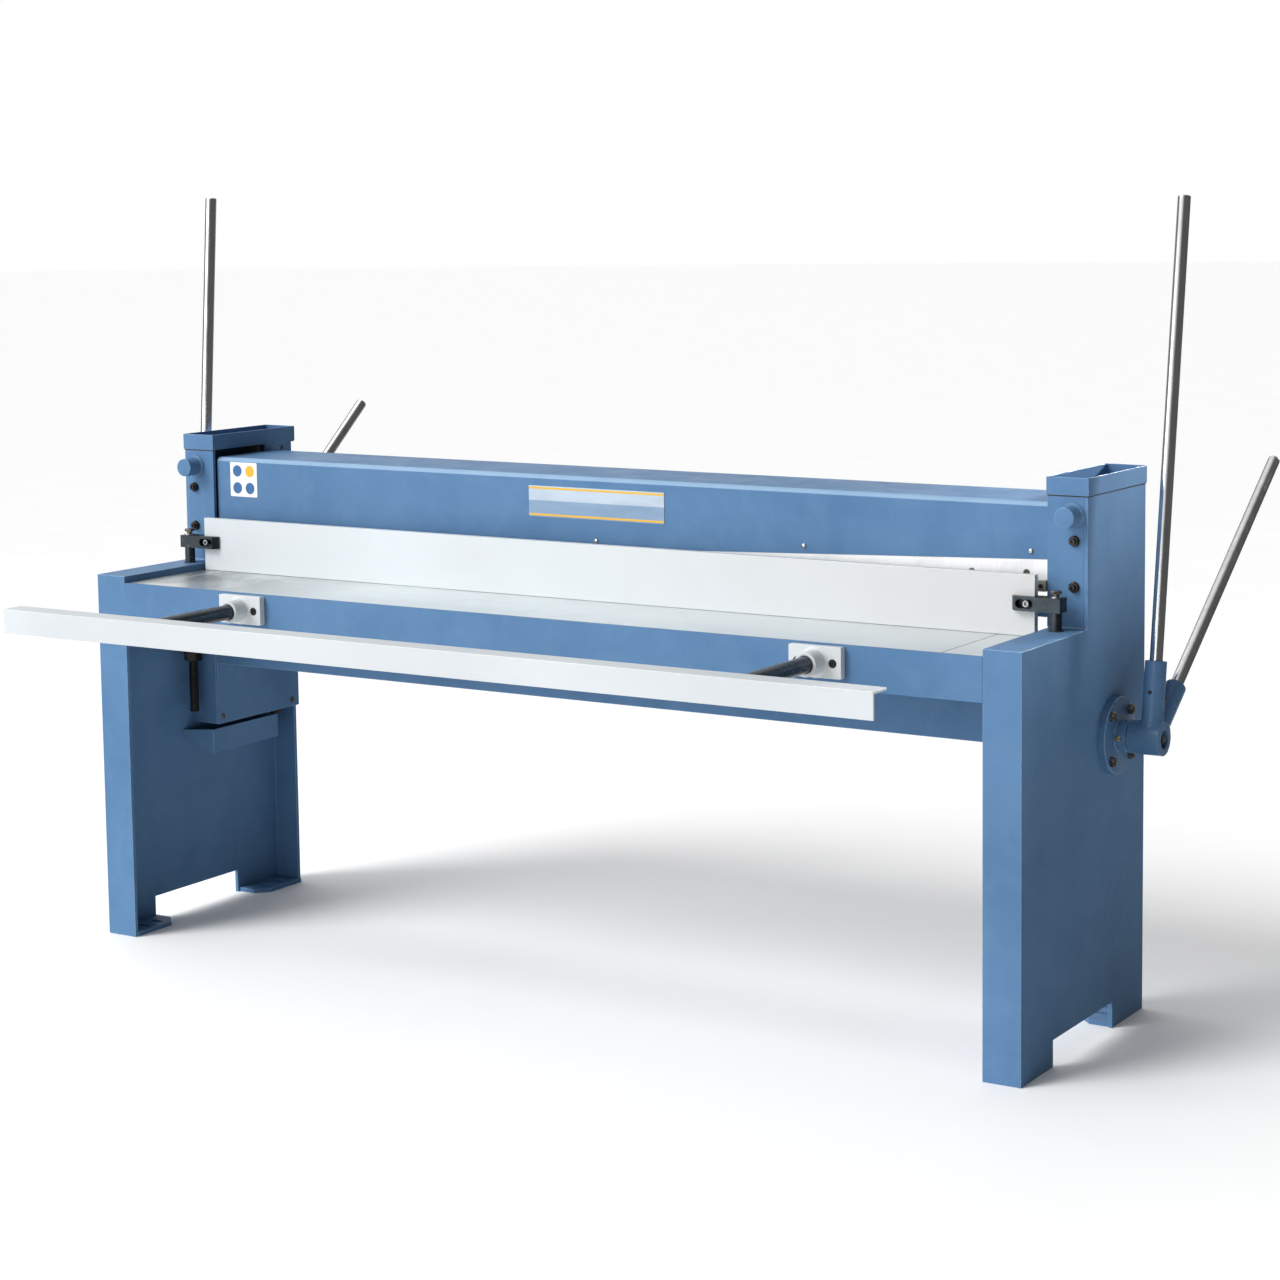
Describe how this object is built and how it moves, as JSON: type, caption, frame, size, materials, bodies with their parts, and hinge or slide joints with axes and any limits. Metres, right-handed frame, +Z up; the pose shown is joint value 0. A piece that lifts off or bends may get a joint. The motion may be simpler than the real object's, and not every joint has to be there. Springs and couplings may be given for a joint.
{
  "type": "sheet metal shear",
  "caption": "Free-standing hand-lever guillotine shear for sheet metal: table, raked sliding blade beam, hold-down bar, front gauge and long lever bars.",
  "frame": {"origin": "bottom centre of the whole machine box, on the floor", "axes": "+Z up, +X to the operator's right along the blades, the operator stands at -Y"},
  "size_m": [2.432, 1.4376, 1.6141],
  "materials": {
    "blue_paint": "satin enamel, light blue",
    "white_paint": "satin powder coat, off-white",
    "chrome": "polished plating",
    "ground_steel": "ground",
    "milled_steel": "milled and oiled",
    "black_oxide": "black oxide",
    "brass": "turned",
    "plate_print": "printed plate, satin"
  },
  "bodies": {
    "frame": {"side_frame_left": "blue_paint", "foot_front_left": "blue_paint", "foot_rear_left": "blue_paint", "column_front_left": "blue_paint", "column_inner_left": "blue_paint", "cap_tray_left": "blue_paint", "spring_pot_left": "blue_paint", "linkage_housing_left": "blue_paint", "housing_cover_left": "blue_paint", "stop_bracket_left": "blue_paint", "bearing_flange_left": "blue_paint", "guide_strip_front_left": "black_oxide", "guide_strip_rear_left": "ground_steel", "grease_nipple_left": "brass", "gauge_bush_left": "white_paint", "side_frame_right": "blue_paint", "foot_front_right": "blue_paint", "foot_rear_right": "blue_paint", "column_front_right": "blue_paint", "column_inner_right": "blue_paint", "cap_tray_right": "blue_paint", "spring_pot_right": "blue_paint", "linkage_housing_right": "blue_paint", "housing_cover_right": "blue_paint", "stop_bracket_right": "blue_paint", "bearing_flange_right": "blue_paint", "guide_strip_front_right": "black_oxide", "guide_strip_rear_right": "ground_steel", "grease_nipple_right": "brass", "gauge_bush_right": "white_paint", "apron": "blue_paint", "cross_member": "blue_paint", "table_end_left": "milled_steel", "table_left": "milled_steel", "table_right": "milled_steel", "table_end_right": "milled_steel", "lower_blade": "ground_steel"},
    "blade_beam": {"beam_shell": "blue_paint", "blade_holder": "ground_steel", "upper_blade": "ground_steel", "carriage_left": "ground_steel", "carriage_right": "ground_steel", "name_plate": "plate_print"},
    "lever_shaft": {"drive_shaft": "ground_steel", "lever_hub_left": "blue_paint", "lever_hub_right": "blue_paint", "lever_main_left": "chrome", "lever_main_right": "chrome", "lever_second_left": "chrome", "lever_second_right": "chrome"},
    "hold_down": {"hold_down_bar": "white_paint", "clamp_block_left": "ground_steel", "clamp_block_right": "ground_steel", "hold_down_post_left": "black_oxide", "hold_down_post_right": "black_oxide"},
    "front_gauge": {"gauge_bar": "white_paint", "gauge_rod_left": "black_oxide", "gauge_rod_right": "black_oxide"}
  },
  "joints": [
    {"name": "lever_hinge", "type": "hinge", "parent": "frame", "child": "lever_shaft", "pos_m": [0, 0.06422, 0.579], "axis": [1, 0, 0], "range_deg": [0, 80]},
    {"name": "blade_slide", "type": "slide", "parent": "frame", "child": "blade_beam", "axis": [0, 0, -1], "range_m": [0, 0.085], "stiffness_N_per_m": 9000, "springref_m": -0.13},
    {"name": "hold_down_lift", "type": "slide", "parent": "frame", "child": "hold_down", "axis": [0, 0, 1], "range_m": [0, 0.012]},
    {"name": "gauge_slide", "type": "slide", "parent": "frame", "child": "front_gauge", "axis": [0, 1, 0], "range_m": [-0.1, 0.14]}
  ],
  "couplings": [
    {"joint": "blade_slide", "follows": "lever_hinge", "m_per_rad": 0.060769}
  ]
}
